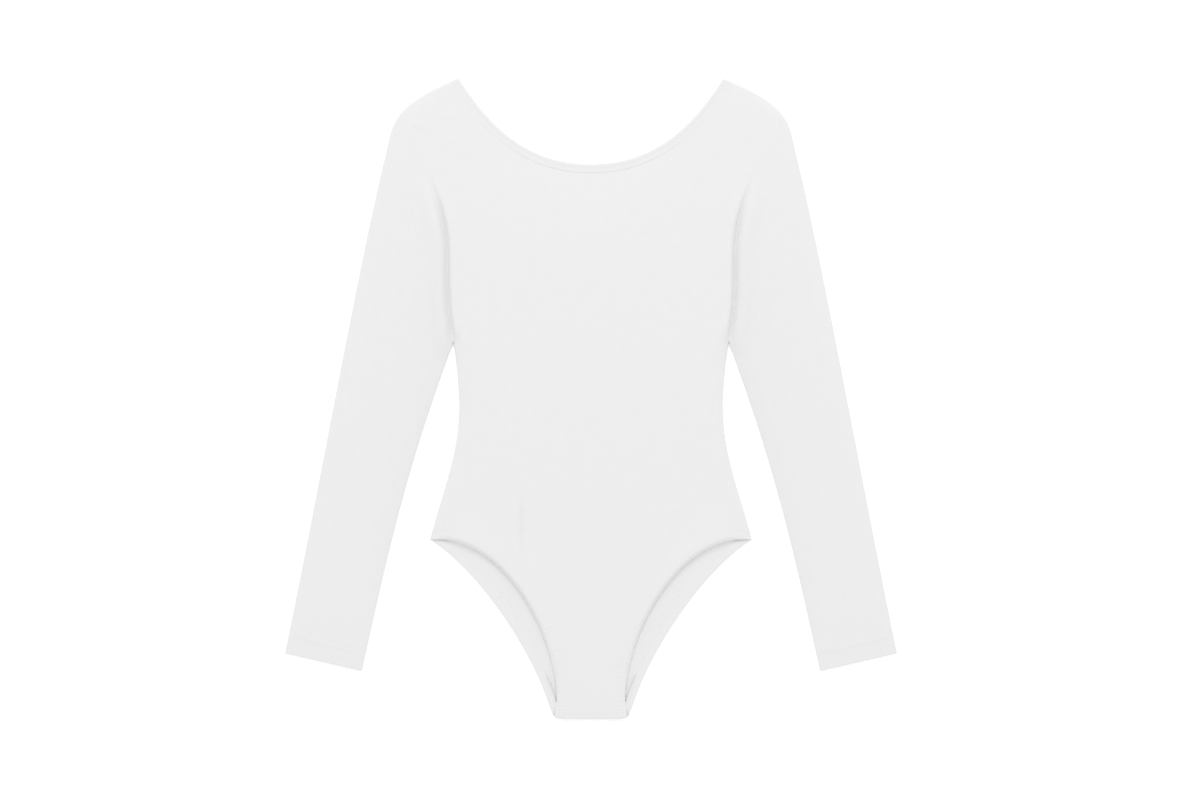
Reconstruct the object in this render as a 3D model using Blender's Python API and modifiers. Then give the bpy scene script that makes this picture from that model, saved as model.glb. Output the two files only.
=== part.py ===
"""A long-sleeved ballet leotard, laid flat on its back with its front up.

Metres, +Z up, +Y towards the neck. The origin is under the middle of the garment, on the surface that it
lies on. Every size below is in millimetres. Left and right are the wearer's: the left side lies at +X.
"""

from collections import namedtuple

import bmesh
import bpy
import numpy as np
from mathutils import Vector
from mathutils.geometry import delaunay_2d_cdt

MM = 0.001

# Driving sizes of the flat garment. Heights are measured from its middle, widths from its centre line.
NECK_TIP = (136.6, 330.0)
NECK_DEPTH_FRONT = 241.4
NECK_DEPTH_BACK = 210.0
SHOULDER_POINT = (199.3, 289.2)
UNDERARM = (142.0, 58.4)
WAIST = (135.8, -11.6)
HIP = (165.7, -145.4)
CROTCH_FRONT = (37.3, -329.2)
CROTCH_BACK = (39.6, -329.2)
CROTCH_DROP = 0.6
CUFF_OUTER = (315.3, -261.5)
CUFF_INNER = (236.0, -279.9)
SLEEVE_HEAD = (213.4, 243.9)

# The cloth. Pieces are set SEAM apart where a seam joins them.
WALL = 1.2
BAND_WALL = 1.6
BAND_WIDTH = 8.0
SEAM = 0.3
ARMHOLE_SEAM = 0.42
SHOULDER_CLEARANCE_REACH = 0.08
HEM_WIDTH = 19.0
HEM_STEP = 0.35

# Heights of the upper layer: at a side seam, at a sleeve's rolled edge, and its rise inside those edges.
SEAM_TOP = 2 * WALL + SEAM
SLEEVE_ROLL = 3.4
LIFT = 2.3
ROLL_REACH = 16.0
ROLL_START_REACH = 6.0
VALLEY_REACH = 13.0
VALLEY_DEPTH = 0.92
VALLEY_TOP, VALLEY_FULL = 262.0, 190.0
LEG_REACH = 28.0
NECK_REACH = 30.0

# Heights of the front bands' upper faces: where they turn to the back, in mid-length, at the neck's centre.
BAND_TURN_TOP = 3.9
BAND_MID_TOP = 4.9
BAND_LEVEL_REACH = 34.0
NECK_CENTRE_TOP = 2.1
NECK_LEVEL_RISE = 60.0
BAND_PROUD = 0.3

# Grid counts. Pieces that meet along a seam share its stations.
NECK_STATIONS, SHOULDER_STATIONS = 10, 5
LEG_STATIONS, SIDE_STATIONS, ARMHOLE_STATIONS = 16, 9, 14
SLEEVE_STATIONS = 20
TURN_STEPS = 4
CROWDING = 0.6
RING_SPREAD = 1.4

# Curves are traced in this many steps, and lines that distances are measured to have this spacing.
TRACE_STEPS = 120
FINE_STEP = 2.0

# Distances inside a panel's edge at which points follow it, and the spacing of those further in.
ROLL_LINES = (3.0, 7.0, 13.0)
LATTICE = 20.0
LEAST_SHARE_OF_DEPTH = 0.93

# Distances from the cuff's edge of the rings round its hem, whose thicker cloth ends in a small step.
HEM_RINGS = (HEM_WIDTH + 3.0, HEM_WIDTH + 1.0, HEM_WIDTH - 0.5, HEM_WIDTH / 2, 0.0)

# The cloth's colour and roughness. The folded bands are a little smoother.
JERSEY_WHITE = (0.85, 0.86, 0.86)
JERSEY_ROUGHNESS, BAND_ROUGHNESS = 0.9, 0.85

# A pattern edge: its two ends and the two points that pull it into its curve.
Edge = namedtuple("Edge", "start pull_start pull_end end")
NECK_FRONT = Edge((0.0, NECK_DEPTH_FRONT), (79.1, NECK_DEPTH_FRONT), (116.8, 299.7), NECK_TIP)
NECK_BACK = Edge((0.0, NECK_DEPTH_BACK), (94.0, NECK_DEPTH_BACK), (118.0, 301.5), NECK_TIP)
SHOULDER = Edge(NECK_TIP, (161.7, 320.1), (190.4, 305.3), SHOULDER_POINT)
ARMHOLE = Edge(UNDERARM, (160.3, 156.4), (124.1, 161.8), SHOULDER_POINT)
SIDE_UPPER = Edge(WAIST, (135.1, 2.7), (139.4, 50.1), UNDERARM)
SIDE_LOWER = Edge(HIP, (154.1, -98.4), (136.6, -60.4), WAIST)
LEG_FRONT = Edge(CROTCH_FRONT, (22.5, -253.4), (82.8, -131.5), HIP)
LEG_BACK = Edge(CROTCH_BACK, (50.6, -276.6), (108.8, -181.7), HIP)
SLEEVE_CAP = Edge(SHOULDER_POINT, (206.0, 281.0), (207.6, 267.7), SLEEVE_HEAD)
SLEEVE_OUTER = Edge(SLEEVE_HEAD, (241.1, 129.1), (291.0, -148.9), CUFF_OUTER)
SLEEVE_INNER = Edge(UNDERARM, (184.6, -59.2), (202.0, -123.1), CUFF_INNER)

# Soft folds of the front, from one end to the other. Each fades out at its ends.
FOLD_FADE = 0.25
Fold = namedtuple("Fold", "start end half_width height")
FRONT_FOLDS = (
    Fold((-74.0, -100.0), (-70.0, -198.0), 9.0, 0.8),
    Fold((91.0, -100.0), (69.0, -170.0), 9.0, 0.7),
    Fold((-66.0, -166.0), (-63.0, -184.0), 6.0, 0.4),
)


def along(points):
    """The distance run along a line of points, at each of them."""
    steps = np.linalg.norm(np.diff(points, axis=0), axis=1)
    return np.concatenate([[0.0], np.cumsum(steps)])


def at(points, places, base=None):
    """The points at these distances along a line, or beside them along the base that it was moved from."""
    run = along(points if base is None else base)
    return np.column_stack([np.interp(places, run, points[:, axis]) for axis in (0, 1)])


def trace(*edges):
    """A finely stepped line through one edge after another."""
    t = np.linspace(0.0, 1.0, TRACE_STEPS + 1)[:, None]
    lines = []
    for edge in edges:
        a, b, c, d = (np.array(point) for point in edge)
        lines.append((1 - t) ** 3 * a + 3 * (1 - t) ** 2 * t * b + 3 * (1 - t) * t**2 * c + t**3 * d)
    return np.concatenate([lines[0]] + [line[1:] for line in lines[1:]])


def finely(points):
    length = along(points)[-1]
    return at(points, np.linspace(0.0, length, round(length / FINE_STEP) + 1))


def unit(vectors):
    return vectors / np.linalg.norm(vectors, axis=-1, keepdims=True)


def ease(x):
    """From 0 to 1, level at both ends."""
    x = np.clip(x, 0.0, 1.0)
    return x * x * (3 - 2 * x)


def rise(x):
    """From 0 to 1, steep at its foot and level at its top, as cloth rolls up from an edge."""
    return 1 - (1 - np.clip(x, 0.0, 1.0)) ** 2


def inset(points, distance, start_way=None, end_way=None):
    """A line moved to its left. Near an end it moves that end's own way, so that it ends on a seam."""
    tangent = unit(np.gradient(points, axis=0))
    way = np.column_stack([-tangent[:, 1], tangent[:, 0]])
    run = along(points)
    for end_run, own_way in ((run, start_way), (run[-1] - run, end_way)):
        if own_way is not None:
            share = (1 - ease(end_run / (3 * BAND_WIDTH)))[:, None]
            way = unit(way * (1 - share) + np.array(own_way) * share)
    return points + way * distance


def mirrored(points):
    return points * np.array([-1.0, 1.0])


def distance(points, line):
    """The distance from each point to a finely stepped line."""
    flat = points.reshape(-1, 2)
    gaps = np.linalg.norm(flat[:, None, :] - line[None, :, :], axis=2)
    return gaps.min(axis=1).reshape(points.shape[:-1])


def fold_height(points, folds):
    """Soft ridges along straight runs, fading out at their ends."""
    total = np.zeros(points.shape[:-1])
    for fold in folds:
        start, end = np.array(fold.start), np.array(fold.end)
        length = np.linalg.norm(end - start)
        way = (end - start) / length
        place = ((points - start) @ way) / length
        side = (points - start) @ np.array([-way[1], way[0]]) / fold.half_width
        ends = ease(place / FOLD_FADE) * ease((1 - place) / FOLD_FADE)
        total += fold.height * ends * np.exp(-(side**2))
    return total


SIDE_WAY = unit(np.array(SIDE_LOWER.pull_start) - np.array(HIP))
SHOULDER_WAY = unit(np.array(SHOULDER.pull_start) - np.array(NECK_TIP))
CROTCH_WAY = np.array([-1.0, 0.0])

SIDE = trace(SIDE_LOWER, SIDE_UPPER)
ARM = trace(ARMHOLE)
OUTER = trace(SLEEVE_CAP, SLEEVE_OUTER)
INNER = trace(SLEEVE_INNER)
LEG_LINES = {"front": trace(LEG_FRONT), "back": trace(LEG_BACK)}
NECK_LINES = {"front": trace(NECK_FRONT), "back": trace(NECK_BACK)}
ROLLED = finely(np.concatenate([OUTER[::-1], trace(SHOULDER)[::-1]]))
ROLLED_INSIDE = finely(np.concatenate([SIDE, INNER]))
CROTCH_LINE = finely(np.array([(0.0, CROTCH_FRONT[1] - CROTCH_DROP), CROTCH_FRONT]))


def neck_top(y):
    """The height of the front neck band's face: low at the centre, over the back's at the tips."""
    climb = ease((y - NECK_DEPTH_FRONT) / NECK_LEVEL_RISE)
    return NECK_CENTRE_TOP + (BAND_TURN_TOP - NECK_CENTRE_TOP) * climb


def leg_top(points):
    """The height of a front leg band's face: it stands off the back in mid-length."""
    from_ends = [np.linalg.norm(points - np.array(end), axis=-1) for end in (HIP, CROTCH_FRONT)]
    share = ease(np.minimum(*from_ends) / BAND_LEVEL_REACH)
    return BAND_TURN_TOP + (BAND_MID_TOP - BAND_TURN_TOP) * share


def edge_and_valley(points):
    """The distance to a rolled edge, and how far the cloth has risen out of the groove along the armhole."""
    right = np.abs(points) * [1, 0] + points * [0, 1]
    edge = np.minimum.reduce([distance(right, line) for line in (ROLLED, ROLLED_INSIDE, CROTCH_LINE)])
    depth = VALLEY_DEPTH * ease((VALLEY_TOP - right[..., 1]) / (VALLEY_TOP - VALLEY_FULL))
    risen = rise(distance(right, ARM) / VALLEY_REACH)
    return edge, 1 - depth * (1 - risen)


def front_height(points):
    """The height of the front panel's upper face."""
    edge, valley = edge_and_valley(points)
    right = np.abs(points) * [1, 0] + points * [0, 1]
    leg = rise((distance(right, LEG_LINES["front"]) - BAND_WIDTH) / LEG_REACH)
    neck = rise((distance(right, NECK_LINES["front"]) - BAND_WIDTH) / NECK_REACH)
    seam = SEAM_TOP + (SLEEVE_ROLL - SEAM_TOP) * rise(edge / ROLL_START_REACH)
    inside = seam + LIFT * rise(edge / ROLL_REACH) * valley + fold_height(points, FRONT_FOLDS)
    leg_edge = np.minimum(leg_top(right) - BAND_PROUD, inside)
    inside = leg_edge + (inside - leg_edge) * leg
    neck_edge = np.minimum(neck_top(right[..., 1]) - BAND_PROUD, seam)
    return neck_edge + (inside - neck_edge) * neck


def crowded(count):
    """Steps from 0 to 1 that close up towards 1."""
    t = np.linspace(0.0, 1.0, count + 1)
    return CROWDING * np.sin(t * np.pi / 2) + (1 - CROWDING) * t


def crowded_both(count):
    """Steps from 0 to 1 that close up towards both. The count is even."""
    half = crowded(count // 2)
    return np.concatenate([(1 - half[::-1]) / 2, (1 + half[1:]) / 2])


def leg_places_on(line):
    """Where a leg band has its stations: it turns to the other layer at both ends."""
    length, radius = along(line)[-1], BAND_TURN_TOP / 2
    return np.clip(crowded_both(LEG_STATIONS) * length, radius, length - radius)


def neck_places_on(line):
    """Where half of the neck band has its stations: it turns to the other layer at the tip."""
    length = along(line)[-1]
    return np.minimum(crowded(NECK_STATIONS) * length, length - BAND_TURN_TOP / 2)


def panel_outline(layer, crotch):
    """The edge of a body panel, front or back, once round from the middle of the crotch."""
    gap = BAND_WIDTH + SEAM
    leg_line, neck_line, shoulder_line = LEG_LINES[layer], NECK_LINES[layer], trace(SHOULDER)
    leg_places = np.concatenate([[0.0], leg_places_on(leg_line), along(leg_line)[-1:]])
    leg = at(inset(leg_line, gap, CROTCH_WAY, SIDE_WAY), leg_places, leg_line)
    side = at(SIDE, np.linspace(gap, along(SIDE)[-1], SIDE_STATIONS + 1))
    armhole = at(ARM, crowded_both(ARMHOLE_STATIONS) * along(ARM)[-1])
    shoulder = at(shoulder_line, np.linspace(gap, along(shoulder_line)[-1], SHOULDER_STATIONS + 1))
    neck_places = np.append(neck_places_on(neck_line), along(neck_line)[-1])
    neck = at(inset(neck_line, -gap, None, -SHOULDER_WAY), neck_places, neck_line)
    middle = np.array([[0.0, crotch[1] - CROTCH_DROP]])
    half = np.concatenate([middle, leg, side[1:], armhole[1:], shoulder[-2::-1], neck[-2::-1]])
    return np.concatenate([half, mirrored(half[-2:0:-1])])


def is_inside(points, outline):
    """Whether each point lies inside a closed outline, by how often a level line from it crosses the edge."""
    x, y = points[:, :1], points[:, 1:]
    (ax, ay), (bx, by) = outline.T, np.roll(outline, -1, axis=0).T
    spans = (ay > y) != (by > y)
    climb = np.where(ay == by, 1.0, by - ay)
    return ((x < (bx - ax) * (y - ay) / climb + ax) & spans).sum(axis=1) % 2 == 1


def filled(outline):
    """Points and triangles of a panel: its outline, lines inside it where the cloth rolls, and a lattice."""
    fine = finely(np.concatenate([outline, outline[:1]]))
    points = [outline]
    for depth in ROLL_LINES:
        line = inset(np.concatenate([outline[-1:], outline, outline[:1]]), depth)[1:-1]
        clear = distance(line, fine) > LEAST_SHARE_OF_DEPTH * depth
        points.append(line[clear & is_inside(line, outline)])
    low, high = outline.min(axis=0), outline.max(axis=0)
    steps = [np.arange(low[axis] + LATTICE / 2, high[axis], LATTICE) for axis in (0, 1)]
    lattice = np.stack(np.meshgrid(*steps), axis=-1)
    lattice[1::2, :, 0] += LATTICE / 2
    lattice = lattice.reshape(-1, 2)
    kept = is_inside(lattice, outline) & (distance(lattice, fine) > ROLL_LINES[-1] + LATTICE / 2)
    points.append(lattice[kept])
    corners = np.arange(len(outline))
    edges = list(zip(corners.tolist(), np.roll(corners, -1).tolist()))
    spots = [Vector(point) for point in np.concatenate(points)]
    spots, _, faces, *_ = delaunay_2d_cdt(spots, edges, [], 1, 1e-4)
    return np.array(spots), faces


def with_height(points, height):
    return np.concatenate([points, np.broadcast_to(height, points.shape[:-1])[..., None]], axis=-1)


def sleeve_rings():
    """Rings of a flattened sleeve, from the armhole to the cuff: the outer face of its cloth."""
    outer_length, inner_length = along(OUTER)[-1], along(INNER)[-1]
    hem_start = 2 * HEM_WIDTH
    shares = np.linspace(1.0, 0.0, SLEEVE_STATIONS + 1)
    shares = 1 - (1 - shares) ** RING_SPREAD
    from_cuff_outer = np.concatenate([hem_start + (outer_length - hem_start) * shares, HEM_RINGS])
    from_cuff_inner = np.concatenate([hem_start + (inner_length - hem_start) * shares, HEM_RINGS])
    shares = np.concatenate([shares, np.zeros(len(HEM_RINGS))])
    outer = at(OUTER, outer_length - from_cuff_outer)
    inner = at(INNER, inner_length - from_cuff_inner)
    armhole_run = along(ARM) / along(ARM)[-1]
    near_shoulder = 1 - ease((1 - armhole_run) / SHOULDER_CLEARANCE_REACH)
    armhole = inset(ARM, -(ARMHOLE_SEAM + SEAM * near_shoulder)[:, None])
    radius = SLEEVE_ROLL / 2
    turn = np.linspace(0, np.pi, TURN_STEPS + 1)[1:-1]
    rings = []
    for start, end, share, from_cuff in zip(inner, outer, shares, from_cuff_outer):
        if share == 1.0:
            start, end = armhole[0], armhole[-1]
        width = np.linalg.norm(end - start)
        edge_place = radius / width
        upper = np.clip(crowded_both(ARMHOLE_STATIONS), edge_place, 1 - edge_place)
        inner_turn = edge_place * (1 - np.sin(turn))
        places = np.concatenate([upper, 1 - inner_turn, upper[::-1], inner_turn])
        bowed = np.column_stack([np.interp(places, armhole_run, armhole[:, axis]) for axis in (0, 1)])
        bow = bowed - armhole[0] - (armhole[-1] - armhole[0]) * places[:, None]
        flat = start + (end - start) * places[:, None] + bow * share
        edge, valley = edge_and_valley(flat[: len(upper)])
        risen = rise((edge - radius) / ROLL_REACH)
        top = SLEEVE_ROLL + risen * (LIFT * valley + (HEM_STEP if from_cuff < HEM_WIDTH else 0.0))
        down = radius * (1 + np.cos(turn))
        height = np.concatenate([top, down, np.zeros(len(upper)), down[::-1]])
        rings.append(np.column_stack([flat, height]))
    return np.stack(rings)


def band_arc(line, seam_line, places):
    """One arc of a band, from its first turn to its last: its free edge, its middle and its seam edge."""
    free, seam = at(line, places), at(seam_line, places, line)
    return np.stack([free, (free + seam) / 2, seam], axis=1)


def band_turn(one, other, way):
    """The steps between two arcs' ends where the band folds over, bulging this way.

    The lower arc's end is reached sideways by half height, clear of the back panel's corner.
    """
    steps = []
    upper, lower = (one, other) if one[0, 2] > other[0, 2] else (other, one)
    for angle in np.linspace(0, np.pi, TURN_STEPS + 1)[1:-1]:
        down = (1 - np.cos(angle)) / 2
        step = upper * (1 - down) + lower * down
        step[:, :2] = upper[:, :2] + (lower[:, :2] - upper[:, :2]) * min(2 * down, 1.0)
        step[:, :2] += np.array(way) * BAND_TURN_TOP / 2 * np.sin(angle)
        steps.append(step)
    return np.stack(steps if upper is one else steps[::-1])


def band_ring(front_arc, back_arc, front_top, first_way, last_way):
    """A band's outer face as a closed strip: its front arc, a turn, its back arc and a turn."""
    upper = with_height(front_arc, front_top(front_arc[:, :1]))
    lower = with_height(back_arc, 0.0)[::-1]
    last_turn = band_turn(upper[-1], lower[0], last_way)
    first_turn = band_turn(lower[-1], upper[0], first_way)
    return np.concatenate([upper, last_turn, lower, first_turn, upper[:1]])


def leg_band_points():
    arcs = []
    for line in LEG_LINES.values():
        seam_line = inset(line, BAND_WIDTH, CROTCH_WAY, SIDE_WAY)
        arcs.append(band_arc(line, seam_line, leg_places_on(line)))
    return band_ring(*arcs, leg_top, (0.0, -1.0), (SIDE_WAY[1], -SIDE_WAY[0]))


def neck_band_points():
    arcs = []
    for line in NECK_LINES.values():
        seam_line = inset(line, -BAND_WIDTH, None, -SHOULDER_WAY)
        half = band_arc(line, seam_line, neck_places_on(line))
        arcs.append(np.concatenate([mirrored(half[:0:-1]), half]))
    tip_way = np.array([-SHOULDER_WAY[1], SHOULDER_WAY[0]])
    return band_ring(*arcs, lambda points: neck_top(points[..., 1]), mirrored(tip_way), tip_way)


def cloth_material(name, roughness):
    material = bpy.data.materials.new(name)
    material.use_nodes = True
    shader = material.node_tree.nodes["Principled BSDF"]
    shader.inputs["Base Color"].default_value = (*JERSEY_WHITE, 1.0)
    shader.inputs["Roughness"].default_value = roughness
    shader.inputs["Metallic"].default_value = 0.0
    return material


def wall_object(name, shape, wall, material, collection):
    """A cloth wall of this thickness behind an open surface, which is its outer face."""
    mesh = bpy.data.meshes.new(name)
    shape.to_mesh(mesh)
    shape.free()
    mesh.materials.append(material)
    mesh.shade_smooth()
    piece = bpy.data.objects.new(name, mesh)
    collection.objects.link(piece)
    thickness = piece.modifiers.new("Cloth wall", "SOLIDIFY")
    thickness.thickness = wall * MM
    thickness.offset = -1.0
    thickness.use_even_offset = True
    thickness.use_quality_normals = True


def add_panel(name, outline, height, material, collection):
    """A flat-cut panel, raised point by point to its height above the surface."""
    spots, faces = filled(outline)
    points = with_height(spots, height(spots)) * MM
    shape = bmesh.new()
    verts = [shape.verts.new(point) for point in points]
    for face in faces:
        shape.faces.new([verts[corner] for corner in face])
    bmesh.ops.delete(shape, geom=[vert for vert in verts if not vert.link_faces], context="VERTS")
    wall_object(name, shape, WALL, material, collection)


def add_tube(name, points, wall, material, collection, mirror=False):
    """A flattened sleeve or band: its outer face runs through rows of points, given in millimetres."""
    if mirror:
        points = points * np.array([-1.0, 1.0, 1.0])
    rows, columns = points.shape[:2]
    shape = bmesh.new()
    bmesh.ops.create_grid(shape, x_segments=columns - 1, y_segments=rows - 1, size=1.0)
    for vert in shape.verts:
        column = round((vert.co.x + 1) / 2 * (columns - 1))
        row = round((vert.co.y + 1) / 2 * (rows - 1))
        vert.co = points[row, column] * MM
    bmesh.ops.remove_doubles(shape, verts=shape.verts, dist=0.001 * MM)
    bmesh.ops.recalc_face_normals(shape, faces=shape.faces)
    highest = max(shape.faces, key=lambda face: face.calc_center_median().z)
    if highest.normal.z < 0:
        bmesh.ops.reverse_faces(shape, faces=shape.faces)
    wall_object(name, shape, wall, material, collection)


def build():
    for old in list(bpy.data.objects):
        bpy.data.objects.remove(old, do_unlink=True)
    collection = bpy.data.collections.new("ballet_leotard")
    bpy.context.scene.collection.children.link(collection)
    panel_cloth = cloth_material("White jersey, body", JERSEY_ROUGHNESS)
    sleeve_cloth = cloth_material("White jersey, sleeves", JERSEY_ROUGHNESS)
    band_cloth = cloth_material("White jersey, folded bands", BAND_ROUGHNESS)
    back = panel_outline("back", CROTCH_BACK)
    front = panel_outline("front", CROTCH_FRONT)
    add_panel("back_panel", back, lambda points: WALL, panel_cloth, collection)
    add_panel("front_panel", front, front_height, panel_cloth, collection)
    sleeve = sleeve_rings()
    sleeve = np.concatenate([sleeve, sleeve[:, :1]], axis=1)
    add_tube("sleeve_left", sleeve, WALL, sleeve_cloth, collection)
    add_tube("sleeve_right", sleeve, WALL, sleeve_cloth, collection, mirror=True)
    add_tube("neck_band", neck_band_points(), BAND_WALL, band_cloth, collection)
    leg_band = leg_band_points()
    add_tube("leg_band_left", leg_band, BAND_WALL, band_cloth, collection)
    add_tube("leg_band_right", leg_band, BAND_WALL, band_cloth, collection, mirror=True)


build()
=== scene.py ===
"""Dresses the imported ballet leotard: white jersey, folded bands, seams, stitching and a plain photo studio.

Metres, +Z up, +Y towards the neck. Left and right are the wearer's: the left side lies at +X. The pattern's
sizes are in millimetres, as a cutter writes them, and MM turns them into metres.
"""
import math
from collections import namedtuple

import bpy
import numpy as np
from bpy.props import FloatProperty, FloatVectorProperty, PointerProperty
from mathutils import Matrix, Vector
from mathutils.geometry import delaunay_2d_cdt
from mathutils.kdtree import KDTree


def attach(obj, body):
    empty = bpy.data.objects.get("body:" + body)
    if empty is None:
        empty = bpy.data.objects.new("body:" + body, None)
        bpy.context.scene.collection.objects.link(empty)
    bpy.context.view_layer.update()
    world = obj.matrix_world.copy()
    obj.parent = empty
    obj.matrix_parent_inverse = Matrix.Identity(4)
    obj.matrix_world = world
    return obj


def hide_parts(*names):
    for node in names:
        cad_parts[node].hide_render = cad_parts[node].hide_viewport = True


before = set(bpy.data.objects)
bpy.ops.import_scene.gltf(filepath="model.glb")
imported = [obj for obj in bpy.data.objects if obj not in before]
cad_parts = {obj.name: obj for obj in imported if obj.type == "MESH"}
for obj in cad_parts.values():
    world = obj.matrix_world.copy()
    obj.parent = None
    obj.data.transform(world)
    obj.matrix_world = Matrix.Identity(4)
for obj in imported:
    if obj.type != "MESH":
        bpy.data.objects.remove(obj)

bl_info = {
    "name": "Ballet leotard",
    "version": (1, 0, 0),
    "blender": (4, 5, 0),
    "location": "3D View > Sidebar > Leotard",
    "description": "Lays out a white long-sleeved ballet leotard, piece by piece, and lights it",
    "category": "Object",
}

MM = 0.001
BODY = "root"

# Pattern points of the flat garment. Heights are measured from its middle, widths from its centre line.
NECK_TIP = (136.6, 330.0)
NECK_DEPTH_FRONT = 241.4
NECK_DEPTH_BACK = 210.0
SHOULDER_POINT = (199.3, 289.2)
UNDERARM = (142.0, 58.4)
WAIST = (135.8, -11.6)
HIP = (165.7, -145.4)
CROTCH_FRONT = (37.3, -329.9)
CROTCH_BACK = (39.6, -329.9)
CROTCH_DROP = 0.6
CUFF_OUTER = (315.5, -262.4)
CUFF_INNER = (236.2, -280.8)
SLEEVE_HEAD = (213.4, 243.9)

# A pattern edge: its two ends and the two points that pull it into its curve.
Edge = namedtuple("Edge", "start pull_start pull_end end")
NECK_FRONT = Edge((0.0, NECK_DEPTH_FRONT), (79.1, NECK_DEPTH_FRONT), (116.8, 299.7), NECK_TIP)
NECK_BACK = Edge((0.0, NECK_DEPTH_BACK), (94.0, NECK_DEPTH_BACK), (118.0, 301.5), NECK_TIP)
SHOULDER = Edge(NECK_TIP, (161.7, 320.1), (190.4, 305.3), SHOULDER_POINT)
ARMHOLE = Edge(UNDERARM, (160.3, 156.4), (124.1, 161.8), SHOULDER_POINT)
SIDE_UPPER = Edge(WAIST, (135.1, 2.7), (139.4, 50.1), UNDERARM)
SIDE_LOWER = Edge(HIP, (154.1, -98.4), (136.6, -60.4), WAIST)
LEG_FRONT = Edge(CROTCH_FRONT, (26.4, -257.2), (86.6, -138.6), HIP)
LEG_BACK = Edge(CROTCH_BACK, (50.6, -276.6), (108.8, -181.7), HIP)
SLEEVE_CAP = Edge(SHOULDER_POINT, (206.0, 281.0), (207.6, 267.7), SLEEVE_HEAD)
SLEEVE_OUTER = Edge(SLEEVE_HEAD, (241.1, 129.1), (291.0, -148.9), CUFF_OUTER)
SLEEVE_INNER = Edge(UNDERARM, (184.6, -59.2), (202.0, -123.1), CUFF_INNER)

# Widths of the leg bands, the neck band and the hems.
BAND_WIDTH = 8.0
NECK_BAND_WIDTH = 9.0
HEM_WIDTH = 19.0

# A sewn edge runs in under the piece that covers it, and a sleeve's also down, least above its groove.
TUCK = 0.4
TUCK_DEPTH = 0.06
TUCK_LEAST = 0.2

# Heights above the surface that the garment lies on: of a side edge, of a sleeve's rolled edge, and how
# much more the cloth rises inside them, over these reaches.
SIDE_TOP = 2.7
SLEEVE_ROLL = 3.4
LIFT = 2.3
ROLL_REACH = 16.0
ROLL_START_REACH = 6.0

# A front leg band's face is this high at its ends and in mid-length, and climbs over these reaches from the
# hip and from the crotch. The panel lies just below it and rises to it over the last reach.
BAND_TURN_TOP = 3.9
BAND_MID_TOP = 8.0
BAND_LEVEL_REACH = 34.0
BAND_LEVEL_REACH_CROTCH = 130.0
LEG_BELOW = 0.05
LEG_REACH = 46.0
PANEL_RISE, PANEL_RISE_REACH = 3.6, 40.0

# The neck band's face is lowest at the centre and climbs this far up the neckline. The panel lies below it,
# less so towards the tips.
NECK_CENTRE_TOP = 2.1
NECK_LEVEL_RISE = 60.0
NECK_BELOW = 0.25
NECK_REACH = 90.0
NECK_TIP_SOFTER = 0.8

# The back's inside rises a little where its cloth meets a band.
BACK_RISE, BACK_RISE_REACH = 0.15, 2.0

# The groove along the lower half of the armhole: steep on the body, softer on the sleeve. Both swell by it.
GROOVE_TOP, GROOVE_FULL = 238.0, 180.0
GROOVE_FLOOR = 2.15
GROOVE_FLAT = 0.6
GROOVE_BODY_REACH = 4.4
GROOVE_SLEEVE_REACH = 7.0
SWELL_AT, SWELL_REACH, SWELL = 9.5, 8.0, 3.0
BODY_SWELL_AT, BODY_SWELL_REACH, BODY_SWELL = 8.0, 6.0, 1.8

# How the cloth turns down into a seam: over this reach and by this depth.
TURN_REACH = 1.1
SIDE_TURN = 0.85
CROTCH_TURN = 0.9
CUFF_TURN = 0.6
NECK_TURN = 0.25
LEG_TURN = 0.03
ARMHOLE_DIP, ARMHOLE_DIP_REACH, ARMHOLE_DIP_LEAST = 0.1, 2.2, 0.05

# The front's leg edge rolls down steeply over this reach, to this height above the surface. It begins to
# do so this far from its ends, and does so fully from the second distance on.
LEG_EDGE_AT, LEG_ROLL_REACH = 1.0, 4.0
LEG_ROLL_START, LEG_ROLL_FULL = 2.0, 24.0

# On its inner side a band thins towards its seam, apart from a short run by the crotch, where its seam
# stands off the back by this much and makes a crease.
INSIDE_SEAM_SHARE, INSIDE_SEAM_REACH = 0.55, 3.0
STAND_OFF_START, STAND_OFF_END, STAND_OFF = 10.0, 37.0, 1.4
STAND_OFF_AT, STAND_OFF_REACH = 5.2, 2.6

# The two corners at the crotch are rounded by pushing them up.
CORNER_START, CORNER_END, CORNER_RISE, CORNER_REACH = 29.0, 39.6, 4.5, 16.0

# Inside a sleeve, the seam allowance shows through as a low ridge and the hem's edge as a soft step.
ALLOWANCE_WIDTH = 6.0
ALLOWANCE_START = 2.0
ALLOWANCE_STEP = 1.2
HEM_EDGE_SPREAD = 0.8

# A sleeve lies flatter towards its cuff: its rolled edges by this much, and its middle wholly.
CUFF_FLATTER, CUFF_FLATTER_REACH, CUFF_LIFT_REACH = 0.8, 22.0, 60.0

# Elastic puckers: their spacing, and how far they reach into the band, the panel and along the leg from the
# crotch, beyond which the least share is left. Two slow waves make the spacing uneven, and one the height.
PUCKER_PITCH = 3.7
PUCKER_INTO_BAND = 3.0
PUCKER_INTO_PANEL = 11.0
PUCKER_FULL, PUCKER_END, PUCKER_LEAST = 90.0, 190.0, 0.25
PUCKER_DRIFTS = ((0.35, 9.1), (0.2, 4.3))
PUCKER_SWAY, PUCKER_SWAY_LENGTH = 0.25, 6.7

# The crotch seam: fine ridges this far from the bottom edge, over which the front comes down gently.
CROTCH_SEAM, CROTCH_SEAM_REACH, CROTCH_SEAM_PITCH, CROTCH_SEAM_PHASE = 4.5, 2.2, 2.35, 2.5
CROTCH_SOFTER = 0.3

# Rows of thread, as distances from a band's free edge and from the cuff. A band dips under its row.
BAND_STITCH_AT = 3.6
STITCH_DIMPLE, STITCH_DIMPLE_REACH = 0.22, 0.5
CUFF_STITCHES_AT = (16.4, 19.2)

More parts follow.
